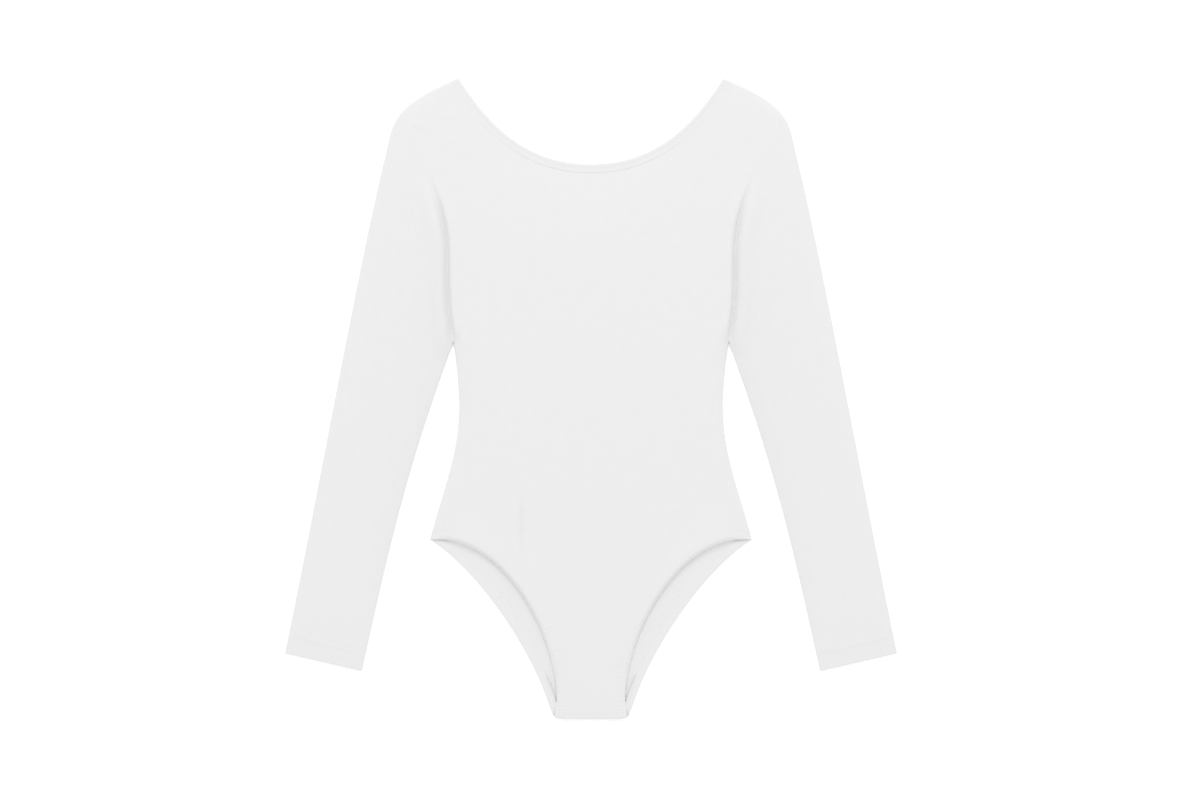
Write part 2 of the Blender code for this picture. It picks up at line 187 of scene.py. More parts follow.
# One stitch: how high its middle line lies at each station along it, in radii, and the thread's sides.
STITCH_LIFTS = (-1.4, 0.2, 0.7, 0.2, -1.4)
THREAD_SIDES = 6

# On the underside the thread is pressed into the band by this much, because the garment lies flat on it.
THREAD_SINK = 0.15

# Turned-in cloth is double: single cloth has this share of its thickness.
SINGLE_SHARE = 0.8

# Mesh spacings of the panels: along the edges, further and further inside them, and in the open cloth. A
# point of an inside line is kept where it lies at least the given share of its depth from the outline, and
# every second point from the coarse line on.
TRACE_STEPS = 241
NEAR_STEP = 0.5
EDGE_STEP = 1.3
BOTTOM_STEPS = 22
INSIDE_LINES = (0.35, 0.8, 1.3, 1.9, 2.5, 3.1, 3.7, 4.3, 4.9, 5.6, 6.5, 7.8, 9.4, 11.4)
COARSE_LINE = 10
LEAST_SHARE_OF_DEPTH = 0.93
LATTICE = 3.2
MERGE_WITHIN = 1e-4

# Near its end, a moved line turns to that end's own way over this distance.
END_WAY_REACH = 24.0

# Rings of a sleeve: from the armhole down, evenly along it, and at these distances from the cuff. The columns
# of its upper face crowd towards its rolled edges by this share.
SLEEVE_FIRST_RINGS = (0.0, 0.35, 0.8, 1.4, 2.2, 3.2, 4.4, 5.8, 7.6, 9.8)
SLEEVE_RING_STEP = 2.6
HEM_RINGS = (30.0, 26.0, 23.5, 21.5, 20.6, 20.0, 19.4, 18.8, 18.0, 17.0, 15.5, 13.5, 11.5, 9.5)
CUFF_RINGS = (7.5, 5.5, 3.8, 2.4, 1.4, 0.7, 0.3, 0.0)
SLEEVE_TOP_COLUMNS, SLEEVE_UNDER_COLUMNS, SLEEVE_TURN_COLUMNS = 64, 24, 8
SLEEVE_CROWDING = 0.55

# Rows of a band round each of its turns, the step of a leg band's rows, and a band's columns, as shares of
# its width from the free edge to the seam.
BAND_TURN_ROWS = 12
LEG_BAND_STEP = 0.6 * EDGE_STEP
BAND_COLUMNS = (
    *(0.0, 0.01, 0.035, 0.075, 0.13, 0.22, 0.33, 0.41, 0.45),
    *(0.49, 0.58, 0.7, 0.8, 0.87, 0.93, 0.97, 1.0),
)

# Soft folds, from one end to the other: half width and height of each, in the flat garment's places.
Fold = namedtuple("Fold", "start end half_width height")
FOLD_FADE = 0.25
FRONT_FOLDS = (
    Fold((-78.0, -96.0), (-70.0, -198.0), 8.0, 1.1),
    Fold((-71.8, -96.0), (-70.8, -184.0), 1.9, -2.0),
    Fold((-68.0, -160.0), (-66.0, -190.0), 2.2, -0.5),
    Fold((91.0, -100.0), (69.0, -170.0), 8.0, 0.9),
    Fold((88.0, -106.0), (87.0, -166.0), 2.6, -1.0),
    Fold((71.0, -146.0), (69.0, -192.0), 2.2, 0.6),
    Fold((-158.0, 294.0), (-128.0, 289.0), 2.5, 0.75),
    Fold((-187.0, 286.0), (-161.0, 275.0), 2.6, 0.9),
    Fold((-169.0, 268.0), (-127.0, 266.0), 2.2, 0.5),
    Fold((-160.0, 260.5), (-130.0, 258.0), 2.0, 0.45),
    Fold((-117.0, 278.0), (-95.0, 265.0), 2.5, 0.65),
    Fold((-154.0, 312.0), (-138.0, 318.0), 2.6, 0.5),
    Fold((124.0, 297.0), (162.0, 304.0), 2.6, 0.75),
    Fold((130.0, 283.0), (161.0, 287.0), 2.6, 0.6),
    Fold((150.0, 270.0), (183.0, 277.0), 2.4, 0.5),
    Fold((104.0, 262.0), (121.0, 273.0), 2.5, 0.5),
)
BACK_FOLDS = (
    Fold((-96.9, -182.0), (-93.0, -209.0), 1.8, 0.8),
    Fold((-87.5, -200.0), (-74.0, -231.0), 1.8, 0.7),
    Fold((94.0, -184.0), (90.0, -207.0), 2.0, 0.7),
    Fold((80.0, -212.0), (70.0, -238.0), 1.8, 0.65),
)
CUFF_FOLDS = (
    Fold((-268.0, -262.0), (-246.0, -269.0), 2.2, 0.3),
    Fold((-300.0, -244.0), (-281.0, -252.0), 2.4, 0.25),
    Fold((240.0, -252.0), (252.0, -262.0), 2.0, 0.35),
    Fold((262.0, -255.0), (284.0, -250.0), 2.4, 0.25),
)


def along(points):
    """The distance run along a line of points, at each of them."""
    steps = np.linalg.norm(np.diff(points, axis=0), axis=1)
    return np.concatenate([[0.0], np.cumsum(steps)])


def read_off(points, run, places):
    """The points at these places, where run says the place of each given point."""
    return np.stack([np.interp(places, run, column) for column in points.T], axis=-1)


def at(points, places, base=None):
    """The points at these distances along a line, or beside them along the base that it was moved from."""
    return read_off(points, along(points if base is None else base), places)


def trace(*edges):
    """A finely stepped line through one edge after another."""
    t = np.linspace(0.0, 1.0, TRACE_STEPS)[:, None]
    lines = []
    for edge in edges:
        a, b, c, d = (np.array(point) for point in edge)
        lines.append((1 - t) ** 3 * a + 3 * (1 - t) ** 2 * t * b + 3 * (1 - t) * t**2 * c + t**3 * d)
    return np.concatenate([lines[0]] + [line[1:] for line in lines[1:]])


def unit(vectors):
    return vectors / np.linalg.norm(vectors, axis=-1, keepdims=True)


def ease(x):
    """From 0 to 1, level at both ends."""
    x = np.clip(x, 0.0, 1.0)
    return x * x * (3 - 2 * x)


def rise(x):
    """From 0 to 1, steep at its foot and level at its top, as cloth rolls up from an edge."""
    return 1 - (1 - np.clip(x, 0.0, 1.0)) ** 2


def turned(x):
    """From 0 to 1 as a quarter circle, upright at its foot, as cloth turns over a seam."""
    return np.sqrt(1 - (1 - np.clip(x, 0.0, 1.0)) ** 2)


def inset(points, distance, start_way=None, end_way=None):
    """A line moved to its left. Near an end it moves that end's own way, so that it ends on a seam."""
    tangent = unit(np.gradient(points, axis=0))
    way = np.column_stack([-tangent[:, 1], tangent[:, 0]])
    run = along(points)
    for end_run, own_way in ((run, start_way), (run[-1] - run, end_way)):
        if own_way is not None:
            share = (1 - ease(end_run / END_WAY_REACH))[:, None]
            way = unit(way * (1 - share) + np.array(own_way) * share)
    return points + way * distance


def mirrored(points):
    return points * np.array([-1.0, 1.0])


def evenly(points, step, start=0.0, end=0.0):
    """Points about one step apart along a line, beginning and ending this far inside its ends."""
    length = along(points)[-1]
    count = round((length - start - end) / step) + 1
    return np.linspace(start, length - end, count)


class Seam:
    """A pattern line that tells how far off a point lies, and beside which place along it."""

    def __init__(self, line):
        self.line = line
        self.places = evenly(line, NEAR_STEP)
        self.points = at(line, self.places)
        self.ways = unit(np.gradient(self.points, axis=0))
        self.tree = KDTree(len(self.points))
        for index, (x, y) in enumerate(self.points):
            self.tree.insert((x, y, 0.0), index)
        self.tree.balance()

    def near(self, points):
        nearest = np.array([self.tree.find((x, y, 0.0))[1] for x, y in points])
        offset = points - self.points[nearest]
        slide = np.clip((offset * self.ways[nearest]).sum(axis=1), -NEAR_STEP, NEAR_STEP)
        gap = np.linalg.norm(offset - slide[:, None] * self.ways[nearest], axis=1)
        return gap, self.places[nearest] + slide

    def gap(self, points):
        return self.near(points)[0]


SIDE_WAY = unit(np.array(SIDE_LOWER.pull_start) - np.array(HIP))
SHOULDER_WAY = unit(np.array(SHOULDER.pull_start) - np.array(NECK_TIP))
CROTCH_WAY = np.array([-1.0, 0.0])
CROTCH_MIDDLE = (0.0, CROTCH_FRONT[1] - CROTCH_DROP)

SIDE = Seam(trace(SIDE_LOWER, SIDE_UPPER))
ARM = Seam(trace(ARMHOLE))
OUTER = Seam(trace(SLEEVE_CAP, SLEEVE_OUTER))
INNER = Seam(trace(SLEEVE_INNER))
SHOULDER_SEAM = Seam(trace(SHOULDER))
CROTCH = Seam(np.array([CROTCH_MIDDLE, CROTCH_FRONT]))
LEGS = {"front": Seam(trace(LEG_FRONT)), "back": Seam(trace(LEG_BACK))}
NECKS = {"front": Seam(trace(NECK_FRONT)), "back": Seam(trace(NECK_BACK))}


def to_right(points):
    """The points with the right half of the garment folded onto the left one, as the pattern is drawn."""
    return np.column_stack([np.abs(points[:, 0]), points[:, 1]])


def fold_height(points, folds):
    """Soft ridges along straight runs, fading out at their ends."""
    total = np.zeros(len(points))
    for fold in folds:
        start, end = np.array(fold.start), np.array(fold.end)
        length = np.linalg.norm(end - start)
        way = (end - start) / length
        place = ((points - start) @ way) / length
        side = (points - start) @ np.array([-way[1], way[0]]) / fold.half_width
        ends = ease(place / FOLD_FADE) * ease((1 - place) / FOLD_FADE)
        total += fold.height * ends * np.exp(-(side**2))
    return total


def neck_top(y):
    """The height of the front neck band's face: low at the centre, over the back's at the tips."""
    climb = ease((y - NECK_DEPTH_FRONT) / NECK_LEVEL_RISE)
    return NECK_CENTRE_TOP + (BAND_TURN_TOP - NECK_CENTRE_TOP) * climb


def leg_top(place):
    """The height of a front leg band's face along its edge: it stands off the back in mid-length."""
    from_hip = along(LEGS["front"].line)[-1] - place
    share = np.minimum(ease(from_hip / BAND_LEVEL_REACH), ease(place / BAND_LEVEL_REACH_CROTCH))
    return BAND_TURN_TOP + (BAND_MID_TOP - BAND_TURN_TOP) * share


def pucker(place, height):
    """Uneven little waves along a leg edge, strongest towards the crotch."""
    (slow, slow_length), (quick, quick_length) = PUCKER_DRIFTS
    phase = place / PUCKER_PITCH
    phase = phase + slow * np.sin(place / slow_length) + quick * np.sin(place / quick_length)
    fading = 1 - ease((place - PUCKER_FULL) / (PUCKER_END - PUCKER_FULL))
    strength = PUCKER_LEAST + (1 - PUCKER_LEAST) * fading
    sway = 1 - PUCKER_SWAY + PUCKER_SWAY * np.sin(place / PUCKER_SWAY_LENGTH)
    return height * np.sin(2 * np.pi * phase) * strength * sway


def groove_depth(points):
    """How deep the groove along the lower half of the armhole is beside these points, from 0 to 1."""
    return ease((GROOVE_TOP - points[:, 1]) / (GROOVE_TOP - GROOVE_FULL))


def armhole_dip(arm, depth):
    """The faint hollow along the whole armhole seam, fainter still above the groove."""
    share = ARMHOLE_DIP_LEAST + (1 - ARMHOLE_DIP_LEAST) * depth
    return ARMHOLE_DIP * share * np.exp(-((arm / ARMHOLE_DIP_REACH) ** 2))


def front_height(points, sizes):
    """The height of the front panel's face, in millimetres."""
    pattern = to_right(points)
    arm = ARM.gap(pattern)
    crotch = CROTCH.gap(pattern)
    side = np.minimum(SIDE.gap(pattern), SHOULDER_SEAM.gap(pattern))
    edge = np.minimum.reduce([side, CROTCH_SOFTER * crotch, OUTER.gap(pattern), INNER.gap(pattern)])
    leg, leg_place = LEGS["front"].near(pattern)
    neck, neck_place = NECKS["front"].near(pattern)
    seam = SIDE_TOP + (SLEEVE_ROLL - SIDE_TOP) * rise(edge / ROLL_START_REACH)
    top = seam + LIFT * rise(edge / ROLL_REACH) + fold_height(points, FRONT_FOLDS) * sizes.fold_strength
    depth = groove_depth(pattern)
    swell = BODY_SWELL * np.exp(-(((arm - BODY_SWELL_AT) / BODY_SWELL_REACH) ** 2))
    top += swell * depth * ease(side / ROLL_REACH)
    in_groove = depth * (1 - rise((arm - GROOVE_FLAT) / GROOVE_BODY_REACH))
    top -= (top - GROOVE_FLOOR) * in_groove
    leg_edge = np.minimum(leg_top(leg_place) - LEG_BELOW, top + PANEL_RISE * ease(side / PANEL_RISE_REACH))
    top = leg_edge + (top - leg_edge) * rise((leg - BAND_WIDTH) / LEG_REACH)
    beside = at(NECKS["front"].line, neck_place)
    softer = 1 - NECK_TIP_SOFTER * ease((beside[:, 1] - NECK_DEPTH_FRONT) / NECK_LEVEL_RISE)
    neck_edge = np.minimum(neck_top(beside[:, 1]) - NECK_BELOW * softer, top)
    top = neck_edge + (top - neck_edge) * rise((neck - NECK_BAND_WIDTH) / NECK_REACH)
    into_panel = (1 - ease((leg - BAND_WIDTH) / PUCKER_INTO_PANEL)) * ease(side / BAND_WIDTH)
    top += pucker(leg_place, sizes.pucker_height / MM) * into_panel
    ridges = np.cos(2 * np.pi * (crotch - CROTCH_SEAM) / CROTCH_SEAM_PITCH + CROTCH_SEAM_PHASE)
    top += sizes.seam_ridge / MM * ridges * np.exp(-(((crotch - CROTCH_SEAM) / CROTCH_SEAM_REACH) ** 2))
    top -= SIDE_TURN * (1 - turned(side / TURN_REACH))
    top -= CROTCH_TURN * (1 - turned(crotch / TURN_REACH))
    top -= armhole_dip(arm, depth)
    top -= NECK_TURN * softer * (1 - turned((neck - NECK_BAND_WIDTH) / TURN_REACH))
    return top - LEG_TURN * (1 - turned((leg - BAND_WIDTH) / TURN_REACH))


def back_height(points, sizes):
    """The height of the back panel's upper face: flat, a little up at the bands, with creases by the legs."""
    pattern = to_right(points)
    to_band = np.minimum(LEGS["back"].gap(pattern), NECKS["back"].gap(pattern)) - BAND_WIDTH
    flat = sizes.jersey / MM + BACK_RISE * (1 - ease(to_band / BACK_RISE_REACH))
    return flat + fold_height(points, BACK_FOLDS) * sizes.fold_strength


def sleeve_roll(from_cuff):
    """The height of a sleeve's rolled edges, which flatten out at the cuff."""
    return SLEEVE_ROLL - CUFF_FLATTER * (1 - ease(from_cuff / CUFF_FLATTER_REACH))


def sleeve_height(points, from_cuff, side, sizes):
    """The height of a sleeve's upper face, between its two rolled edges."""
    inner = INNER.gap(points)
    edge = np.minimum(OUTER.gap(points), inner)
    arm = ARM.gap(points)
    depth = groove_depth(points)
    risen = rise((edge - SLEEVE_ROLL / 2) / ROLL_REACH)
    swell = SWELL * np.exp(-(((arm - SWELL_AT) / SWELL_REACH) ** 2)) * depth
    hem = sizes.hem_step / MM * ease((HEM_WIDTH + HEM_EDGE_SPREAD - from_cuff) / ALLOWANCE_STEP)
    lift = LIFT * ease(from_cuff / CUFF_LIFT_REACH)
    top = sleeve_roll(from_cuff) + risen * (lift + swell + hem)
    top -= (top - GROOVE_FLOOR) * depth * (1 - rise((arm - GROOVE_FLAT) / GROOVE_SLEEVE_REACH))
    top += fold_height(points * np.array([side, 1.0]), CUFF_FOLDS) * sizes.fold_strength * risen
    ridge = ease(inner / ALLOWANCE_START) * (1 - ease((inner - ALLOWANCE_WIDTH) / ALLOWANCE_STEP))
    top += sizes.allowance / MM * ridge * ease(arm / ROLL_REACH)
    return top - armhole_dip(arm, depth)


def corner_rounded(points):
    """The points with the two corners at the crotch pushed up into a round."""
    share = np.clip((np.abs(points[:, 0]) - CORNER_START) / (CORNER_END - CORNER_START), 0.0, 1.0) ** 4
    low = 1 - ease((points[:, 1] - CROTCH_MIDDLE[1]) / CORNER_REACH)
    near = low * (np.abs(points[:, 0]) < 2 * CORNER_END)
    return points + np.outer(CORNER_RISE * share * near, [0.0, 1.0, 0.0])


def panel_outline(layer, crotch):
    """The edge of a body panel, front or back, once round from the middle of the crotch."""
    gap, neck_gap = BAND_WIDTH - TUCK, NECK_BAND_WIDTH - TUCK
    leg_line, neck_line, shoulder_line = LEGS[layer].line, NECKS[layer].line, SHOULDER_SEAM.line
    leg = at(inset(leg_line, gap, CROTCH_WAY, SIDE_WAY), evenly(leg_line, EDGE_STEP), leg_line)
    side = at(SIDE.line, evenly(SIDE.line, EDGE_STEP, start=gap))
    armhole = at(ARM.line, evenly(ARM.line, EDGE_STEP))
    shoulder = at(shoulder_line, evenly(shoulder_line, EDGE_STEP, start=neck_gap))
    neck = at(inset(neck_line, -neck_gap, None, -SHOULDER_WAY), evenly(neck_line, EDGE_STEP), neck_line)
    corner = np.array([leg[0, 0], crotch[1]])
    bottom = CROTCH_MIDDLE + (corner - CROTCH_MIDDLE) * np.linspace(0.0, 1.0, BOTTOM_STEPS)[:-1, None]
    half = np.concatenate([bottom, leg, side[1:], armhole[1:], shoulder[-2::-1], neck[-2::-1]])
    return np.concatenate([half, mirrored(half[-2:0:-1])])


def is_inside(points, outline):
    """Whether each point lies inside a closed outline, by how often a level line from it crosses the edge."""
    ends = np.roll(outline, -1, axis=0)
    inside = np.zeros(len(points), dtype=bool)
    for (ax, ay), (bx, by) in zip(outline, ends):
        if ay != by:
            spans = (ay > points[:, 1]) != (by > points[:, 1])
            crossing = (bx - ax) * (points[:, 1] - ay) / (by - ay) + ax
            inside ^= spans & (points[:, 0] < crossing)
    return inside


def filled(outline):
    """Points and triangles of a panel: its outline, lines inside it that follow it, and a lattice."""
    rim = Seam(np.concatenate([outline, outline[:1]]))
    round_it = np.concatenate([outline[-1:], outline, outline[:1]])
    points = [outline]
    for count, depth in enumerate(INSIDE_LINES):
        line = inset(round_it, depth)[1:-1]
        line = line[:: 1 + (count >= COARSE_LINE)]
        points.append(line[(rim.gap(line) > LEAST_SHARE_OF_DEPTH * depth) & is_inside(line, outline)])
    low, high = outline.min(axis=0), outline.max(axis=0)
    steps = [np.arange(low[n] + LATTICE / 2, high[n], LATTICE) for n in (0, 1)]
    lattice = np.stack(np.meshgrid(*steps), axis=-1)
    lattice[1::2, :, 0] += LATTICE / 2
    lattice = lattice.reshape(-1, 2)
    lattice = lattice[is_inside(lattice, outline)]
    points.append(lattice[rim.gap(lattice) > INSIDE_LINES[-1] + LATTICE / 2])
    corners = np.arange(len(outline))
    edges = list(zip(corners.tolist(), np.roll(corners, -1).tolist()))
    spots = [Vector(point) for point in np.concatenate(points)]
    spots, _, faces, *_ = delaunay_2d_cdt(spots, edges, [], 1, MERGE_WITHIN)
    return np.array(spots), faces


def grid_faces(rows, columns, ring_rows, ring_columns):
    """The quads of a grid whose rows or columns may close on themselves, with the pattern corner of each."""
    faces, corners = [], []
    wide = columns + ring_columns
    for row in range(rows - 1 + ring_rows):
        for column in range(columns - 1 + ring_columns):
            steps = ((row, column), (row, column + 1), (row + 1, column + 1), (row + 1, column))
            faces.append([r % rows * columns + c % columns for r, c in steps])
            corners.append([r * wide + c for r, c in steps])
    return faces, corners


def mark_cut_edges(mesh):
    """Marks the cut edges of a piece as sharp, so that its face stays even up to them."""
    used = np.zeros(len(mesh.edges), dtype=int)
    for loop in mesh.loops:
        used[loop.edge_index] += 1
    for edge in mesh.edges:
        edge.use_edge_sharp = bool(used[edge.index] == 1)


def add_piece(name, points, faces, material):
    """A smooth mesh through these points, which lies with the garment."""
    mesh = bpy.data.meshes.new(name)
    mesh.from_pydata((corner_rounded(points) * MM).tolist(), [], faces)
    mesh.materials.append(material)
    mesh.shade_smooth()
    piece = bpy.data.objects.new(name, mesh)
    bpy.context.scene.collection.objects.link(piece)
    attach(piece, BODY)
    return piece


def cloth_piece(name, node, points, faces, pattern, thickness, material, slot, doubled=None):
    """A piece of cloth: a face through these points, its pattern map, and the cloth's thickness inwards."""
    piece = add_piece(name, points, faces, material)
    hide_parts(node)
    mesh = piece.data
    if max(mesh.polygons, key=lambda face: face.center.z).normal.z < 0:
        mesh.flip_normals()
    mark_cut_edges(mesh)
    layer = mesh.uv_layers.new(name="pattern")
    for face in mesh.polygons:
        spots = pattern[face.index]
        own = list(faces[face.index])
        for loop in face.loop_indices:
            spot = spots[own.index(mesh.loops[loop].vertex_index)]
            layer.data[loop].uv = (spot[0] * MM, spot[1] * MM)
    wall = piece.modifiers.new("Cloth thickness", "SOLIDIFY")
    wall.thickness = thickness
    wall.offset = -1.0
    if doubled is not None:
        group = piece.vertex_groups.new(name="doubled")
        for index, weight in enumerate(doubled):
            group.add([index], float(weight), "REPLACE")
        wall.vertex_group = group.name
        wall.thickness_vertex_group = SINGLE_SHARE
        wall.thickness = thickness / SINGLE_SHARE
    return piece


def thread_row(name, points, outward, sizes, material):
    """A row of machine stitches: short lengths of thread that lie along a line and dip in at their ends."""
    run = along(points)
    length, pitch = sizes.stitch_length / MM, sizes.stitch_pitch / MM
    radius = sizes.thread / MM / 2
    starts = np.arange(pitch / 2, run[-1] - length, pitch)
    stations = np.linspace(0.0, 1.0, len(STITCH_LIFTS))
    places = starts[:, None] + stations * length
    spots = read_off(points, run, places)
    out = unit(read_off(outward, run, places))
    way = unit(np.gradient(spots, axis=1))
    across = unit(np.cross(out, way))
    lift = radius * np.array(STITCH_LIFTS)[:, None]
    angles = np.linspace(0.0, 2 * np.pi, THREAD_SIDES + 1)[:-1]
    rings = spots[:, :, None, :] + (out * lift)[:, :, None, :]
    rings = rings + radius * np.cos(angles)[:, None] * across[:, :, None, :]
    rings = rings + radius * np.sin(angles)[:, None] * out[:, :, None, :]
    corners = len(STITCH_LIFTS) * THREAD_SIDES
    one_faces, _ = grid_faces(len(STITCH_LIFTS), THREAD_SIDES, 0, 1)
    one_faces += [list(range(THREAD_SIDES))[::-1], list(range(corners - THREAD_SIDES, corners))]
    faces = []
    for index in range(len(starts)):
        faces += [[corner + corners * index for corner in face] for face in one_faces]
    return add_piece(name, rings.reshape(-1, 3), faces, material)


def colour(code):
    """A linear colour from a hex code as a screen shows it."""
    values = [int(code[place : place + 2], 16) / 255 for place in (1, 3, 5)]
    return tuple(v / 12.92 if v <= 0.04045 else ((v + 0.055) / 1.055) ** 2.4 for v in values)


def add_node(tree, kind, inputs=None, **settings):
    """Adds a node with its settings. An input is a value, or the socket of another node that feeds it."""
    node = tree.nodes.new("ShaderNode" + kind)
    for key, value in settings.items():
        setattr(node, key, value)
    for key, value in (inputs or {}).items():
        if isinstance(value, bpy.types.NodeSocket):
            tree.links.new(value, node.inputs[key])
        else:
            node.inputs[key].default_value = value
    return node


def calculate(tree, operation, *values):
    """The result of a calculation on values or on the sockets of other nodes."""
    return add_node(tree, "Math", dict(enumerate(values)), operation=operation).outputs[0]


def noise(tree, place, scale, detail, roughness=0.5):
    """Soft noise with this many features a metre."""
    inputs = {"Vector": place, "Scale": scale, "Detail": detail, "Roughness": roughness}
    return add_node(tree, "TexNoise", inputs).outputs["Fac"]


def relief(tree, height, distance, strength, **below):
    """The normal of a surface with this relief, on top of the one below it if there is one."""
    inputs = {"Height": height, "Distance": distance, "Strength": strength, **below}
    return add_node(tree, "Bump", inputs).outputs["Normal"]


def new_material(name, inputs):
    """A new material whose shader has these inputs, with its node tree and that shader."""
    material = bpy.data.materials.new(name)
    material.use_nodes = True
    shader = material.node_tree.nodes["Principled BSDF"]
    for key, value in inputs.items():
        shader.inputs[key].default_value = value
    return material, material.node_tree, shader


def jersey_cloth(name, tint, sizes, roughness):
    """Cotton-elastane single jersey, dyed white: matt, a little fuzzy, with fine upright knit columns."""
    sheen = {"Sheen Weight": 0.12, "Sheen Roughness": 0.6}
    inputs = {"Roughness": roughness, "Specular IOR Level": 0.25, **sheen}
    material, tree, shader = new_material(name, inputs)
    pattern = add_node(tree, "UVMap", uv_map="pattern").outputs["UV"]
    parts = add_node(tree, "SeparateXYZ", {0: pattern}).outputs
    # Each knit column is two slanted legs that meet in a V, so its height is a slanted wave on either side.
    column = calculate(tree, "DIVIDE", parts["X"], sizes.knit_pitch)
    saw = calculate(tree, "PINGPONG", column, 1.0)
    course = calculate(tree, "DIVIDE", parts["Y"], sizes.knit_pitch)
    slant = calculate(tree, "MULTIPLY_ADD", saw, 0.7, course)
    legs = calculate(tree, "SINE", calculate(tree, "MULTIPLY", slant, 2 * math.pi))
    knit = calculate(tree, "MULTIPLY_ADD", legs, 0.35, saw)
    fuzzy = calculate(tree, "MULTIPLY_ADD", noise(tree, pattern, FUZZ_SCALE, 2.0), 1.2, knit)
    fine = relief(tree, fuzzy, sizes.knit_depth, 0.5)
    # Faint dents, as pressed cotton keeps them, a few centimetres across.
    dents = noise(tree, pattern, DENT_SCALE, 4.0, 0.55)
    tree.links.new(relief(tree, dents, sizes.dent_depth, 1.0, Normal=fine), shader.inputs["Normal"])
    clouds = noise(tree, pattern, MOTTLE_SCALE, 5.0, 0.65)
    darker = tuple(channel * (1 - sizes.mottling) for channel in tint)
    lighter = tuple(min(channel * (1 + sizes.mottling), 1.0) for channel in tint)
    ramp = add_node(tree, "ValToRGB", {0: clouds})
    ramp.color_ramp.elements[0].position = 0.3
    ramp.color_ramp.elements[1].position = 0.7
    ramp.color_ramp.elements[0].color = (*darker, 1.0)
    ramp.color_ramp.elements[1].color = (*lighter, 1.0)
    tree.links.new(ramp.outputs["Color"], shader.inputs["Base Color"])
    return material


def polyester_thread(name, tint, sizes):
    """Spun polyester sewing thread: a soft shine, with the twist as slanted ribs."""
    material, tree, shader = new_material(name, {"Base Color": (*tint, 1.0), "Roughness": 0.55})
    place = add_node(tree, "TexCoord").outputs["Object"]
    # At a scale of 1, the bands of a wave texture lie pi / 10 apart.
    inputs = {"Vector": place, "Scale": math.pi / (10 * TWIST_PITCH)}
    twist = add_node(tree, "TexWave", inputs, bands_direction="DIAGONAL").outputs["Fac"]
    tree.links.new(relief(tree, twist, sizes.thread / 8, 0.6), shader.inputs["Normal"])
    return material


def light_table(name, tint):
    """Matt white acrylic lit from behind, as for product shots: hardly a shadow stays on it."""
    glow = {"Emission Color": (1.0, 1.0, 1.0, 1.0), "Emission Strength": TABLE_GLOW}
    face = {"Base Color": (*tint, 1.0), "Roughness": 1.0, "Specular IOR Level": 0.0}
    material, _, _ = new_material(name, {**face, **glow})
    return material


def cloth_of(name, colours, sizes):
    """The material of this name, made when it is first asked for."""
    if name in bpy.data.materials:
        return bpy.data.materials[name]
    if name == THREAD:
        return polyester_thread(name, colours.thread, sizes)
    tint, roughness = (colours.band, 0.85) if name == BAND_JERSEY else (colours.jersey, 0.9)
    return jersey_cloth(name, tint, sizes, roughness)


# Knitted, bleached and pressed cotton with elastane: an even matt white that soft light hardly marks, with a
# faint haze of fuzz where it turns away.
BODY_JERSEY = "Cotton-elastane single jersey, body"
# The same cloth with its knit columns down the arm, so that it takes the light as the body does.
SLEEVE_JERSEY = "Cotton-elastane single jersey, sleeves"
# The same cloth folded double and drawn taut by its filling: a trace smoother to the eye.
BAND_JERSEY = "Cotton-elastane single jersey, folded bands"
# Short polyester fibres spun and twisted: a shade brighter than the cloth, with a soft shine.
THREAD = "Spun polyester thread, white"
# Cast acrylic with a sanded face and lamps below: a plain white ground with hardly a shadow.
TABLE = "Matt white acrylic, lit from behind"
TABLE_GLOW = 0.12

# Features a metre of the cloth's grain: fuzz of about 1 mm, dents of 26 mm and mottling of 13 mm.
FUZZ_SCALE, DENT_SCALE, MOTTLE_SCALE = 900.0, 38.0, 75.0

# A real thread's twist repeats at this distance, in metres.
TWIST_PITCH = 0.5 * MM


def length_setting(name, description, millimetres):
    return FloatProperty(name=name, description=description, default=millimetres * MM, unit="LENGTH")


def share_setting(name, description, share):
    return FloatProperty(name=name, description=description, default=share, subtype="FACTOR")


def white_setting(name, description, code):
    return FloatVectorProperty(name=name, description=description, default=colour(code), subtype="COLOR")


class LeotardSizes(bpy.types.PropertyGroup):
    jersey: length_setting("Jersey", "Thickness of one layer of jersey", 0.9)
    band: length_setting("Band", "Thickness of a folded band with its filling", 1.6)
    band_jersey: length_setting("Band jersey", "Thickness of the jersey of a band", 0.5)
    hem_step: length_setting("Hem step", "Rise of the cloth over the turned hem", 0.35)
    allowance: length_setting("Seam allowance", "Ridge over the seam allowance inside", 0.25)
    seam_ridge: length_setting("Seam ridges", "Height of the fine ridges of the crotch seam", 0.14)
    pucker_height: length_setting("Puckers", "Height of the elastic's puckers", 0.16)
    fold_strength: share_setting("Folds", "Height of the soft folds, as a share of that shown", 1.0)
    stitch_length: length_setting("Stitch length", "Length of the thread that shows", 2.3)
    stitch_pitch: length_setting("Stitch pitch", "From one stitch to the next", 2.9)
    thread: length_setting("Thread", "Thickness of the thread", 0.36)
    knit_pitch: length_setting("Knit pitch", "Width of a column of stitches", 0.75)
    knit_depth: length_setting("Knit depth", "Depth between columns of stitches", 0.08)
    dent_depth: length_setting("Dents", "Depth of the faint dents in the cloth", 0.35)
    mottling: share_setting("Mottling", "Share by which the white varies", 0.006)


class LeotardColours(bpy.types.PropertyGroup):
    jersey: white_setting("Jersey", "White of the body and sleeves", "#E4E4E4")
    band: white_setting("Bands", "White of the folded bands", "#E4E4E4")
    thread: white_setting("Thread", "White of the sewing thread", "#E6E6E5")
    table: white_setting("Table", "White of the light table", "#FAFAFA")


